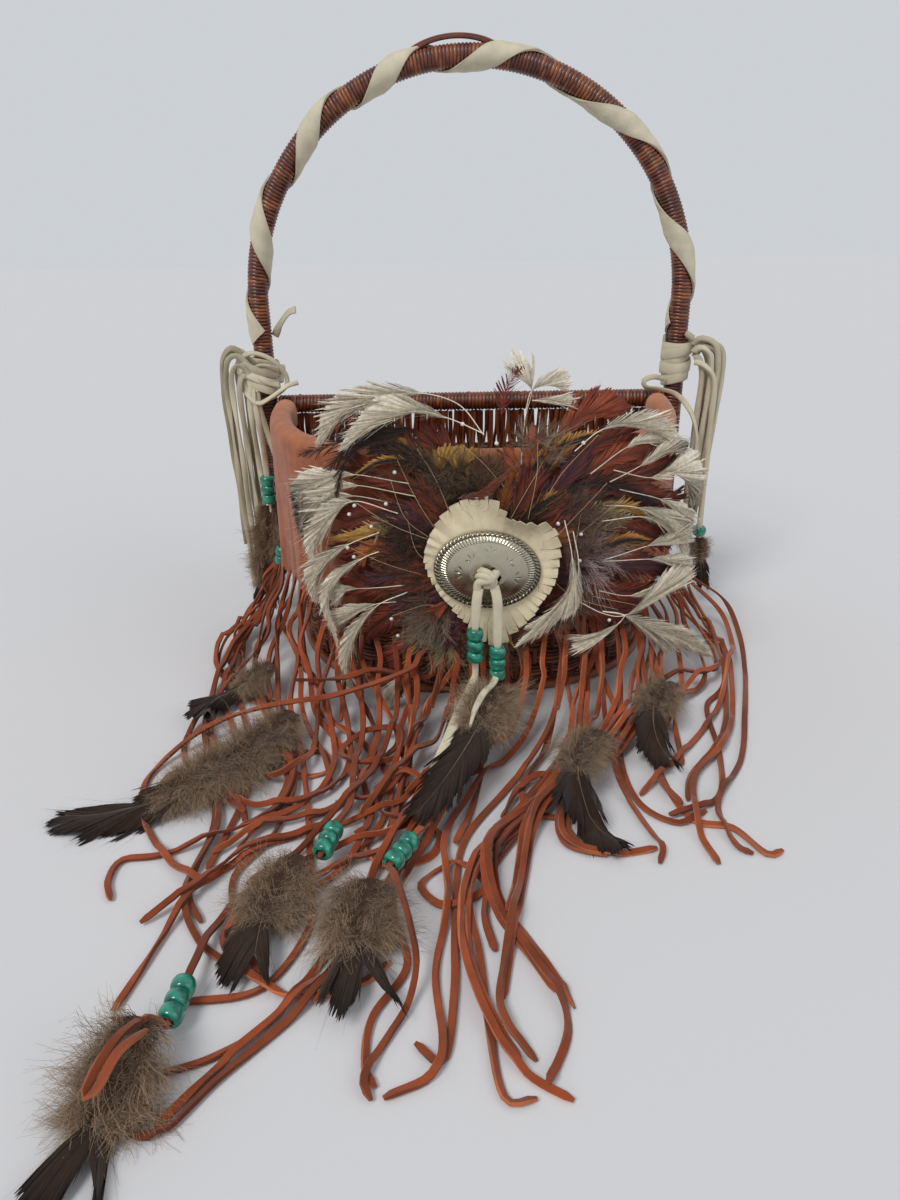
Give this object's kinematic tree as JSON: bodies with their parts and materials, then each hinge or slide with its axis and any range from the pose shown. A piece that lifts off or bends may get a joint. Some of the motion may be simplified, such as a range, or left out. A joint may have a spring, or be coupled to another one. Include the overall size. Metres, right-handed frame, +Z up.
{
  "type": "fringed basket",
  "caption": "Bow-fronted wicker basket with a tall hoop handle, a fringed suede apron, a fan of feathers, an oval concho and beaded leather thongs.",
  "frame": {"origin": "middle of the base on the floor, under the basket's middle", "axes": "+Z up, -Y the bowed and feathered front, +X to the viewer's right"},
  "size_m": [0.3895, 0.4428, 0.3552],
  "materials": {
    "wicker": "stained cane, satin",
    "suede": "matt split suede",
    "cream_leather": "matt soft leather",
    "bead": "glossy opaque",
    "silver": "aged silver colour, stamped",
    "dark_feather": "feather, black-brown",
    "rust_feather": "feather, rust",
    "gold_feather": "feather, golden",
    "cream_feather": "feather, cream",
    "brown_feather": "downy feather, grey-brown"
  },
  "bodies": {
    "basket": {"base_board": "wicker", "back_wall": "wicker", "front_wall": "wicker", "back_rim": "wicker", "front_rim": "wicker", "handle_hoop": "wicker", "top_cane_loop": "wicker", "suede_apron": "suede", "fringe_left": "suede", "fringe_front_left": "suede", "fringe_front": "suede", "fringe_front_right": "suede", "fringe_right": "suede", "handle_strip": "cream_leather", "left_knot": "cream_leather", "right_binding": "cream_leather", "centre_left_beads": "bead", "centre_beads": "bead", "lower_left_beads": "bead", "left_lace_beads": "bead", "down_pad": "dark_feather", "dark_feathers_left": "dark_feather", "small_left_feather": "dark_feather", "right_feather": "dark_feather", "far_right_feather": "dark_feather", "rust_feathers_left": "rust_feather", "rust_feathers_right": "rust_feather", "rust_feathers_top": "rust_feather", "upright_feather": "rust_feather", "gold_feathers_top": "gold_feather", "cream_feathers_left": "cream_feather", "cream_feathers_lower": "cream_feather", "cream_feathers_upper_right": "cream_feather", "cream_feathers_right": "cream_feather", "top_cream_feather": "cream_feather", "curved_hackle": "cream_feather", "big_left_feather": "brown_feather", "lower_left_feather": "brown_feather", "centre_left_feather": "brown_feather", "centre_feather": "brown_feather"},
    "left_bundle": {"left_thongs": "cream_leather", "left_bundle_beads": "bead", "left_bundle_feather": "brown_feather"},
    "right_bundle": {"right_thongs": "cream_leather", "right_bundle_bead": "bead", "right_bundle_feather": "dark_feather"},
    "concho_and_rosette": {"leather_rosette": "cream_leather", "concho": "silver", "concho_tie": "cream_leather"},
    "drops": {"left_tail": "cream_leather", "right_tail": "cream_leather", "right_tail_bead_1": "bead", "right_tail_bead_2": "bead", "right_tail_bead_3": "bead", "drop_feather": "dark_feather"},
    "sliding_beads": {"left_tail_bead_1": "bead", "left_tail_bead_2": "bead", "left_tail_bead_3": "bead"}
  },
  "joints": [
    {"name": "left_bundle_swing", "type": "hinge", "parent": "basket", "child": "left_bundle", "pos_m": [-0.146, 0.0465, 0.172], "axis": [0, 1, 0], "range_deg": [0, 35]},
    {"name": "right_bundle_swing", "type": "hinge", "parent": "basket", "child": "right_bundle", "pos_m": [0.146, 0.0465, 0.172], "axis": [0, -1, 0], "range_deg": [0, 35]},
    {"name": "concho_turn", "type": "hinge", "parent": "basket", "child": "concho_and_rosette", "pos_m": [0.004, -0.1022, 0.091], "axis": [0, 1, 0], "range_deg": [-6, 6]},
    {"name": "drop_swing", "type": "hinge", "parent": "concho_and_rosette", "child": "drops", "pos_m": [0.004, -0.113, 0.084], "axis": [-1, 0, 0], "range_deg": [0, 50]},
    {"name": "tail_bead_slide", "type": "slide", "parent": "drops", "child": "sliding_beads", "axis": [0, 0, -1], "range_m": [0, 0.004]}
  ]
}
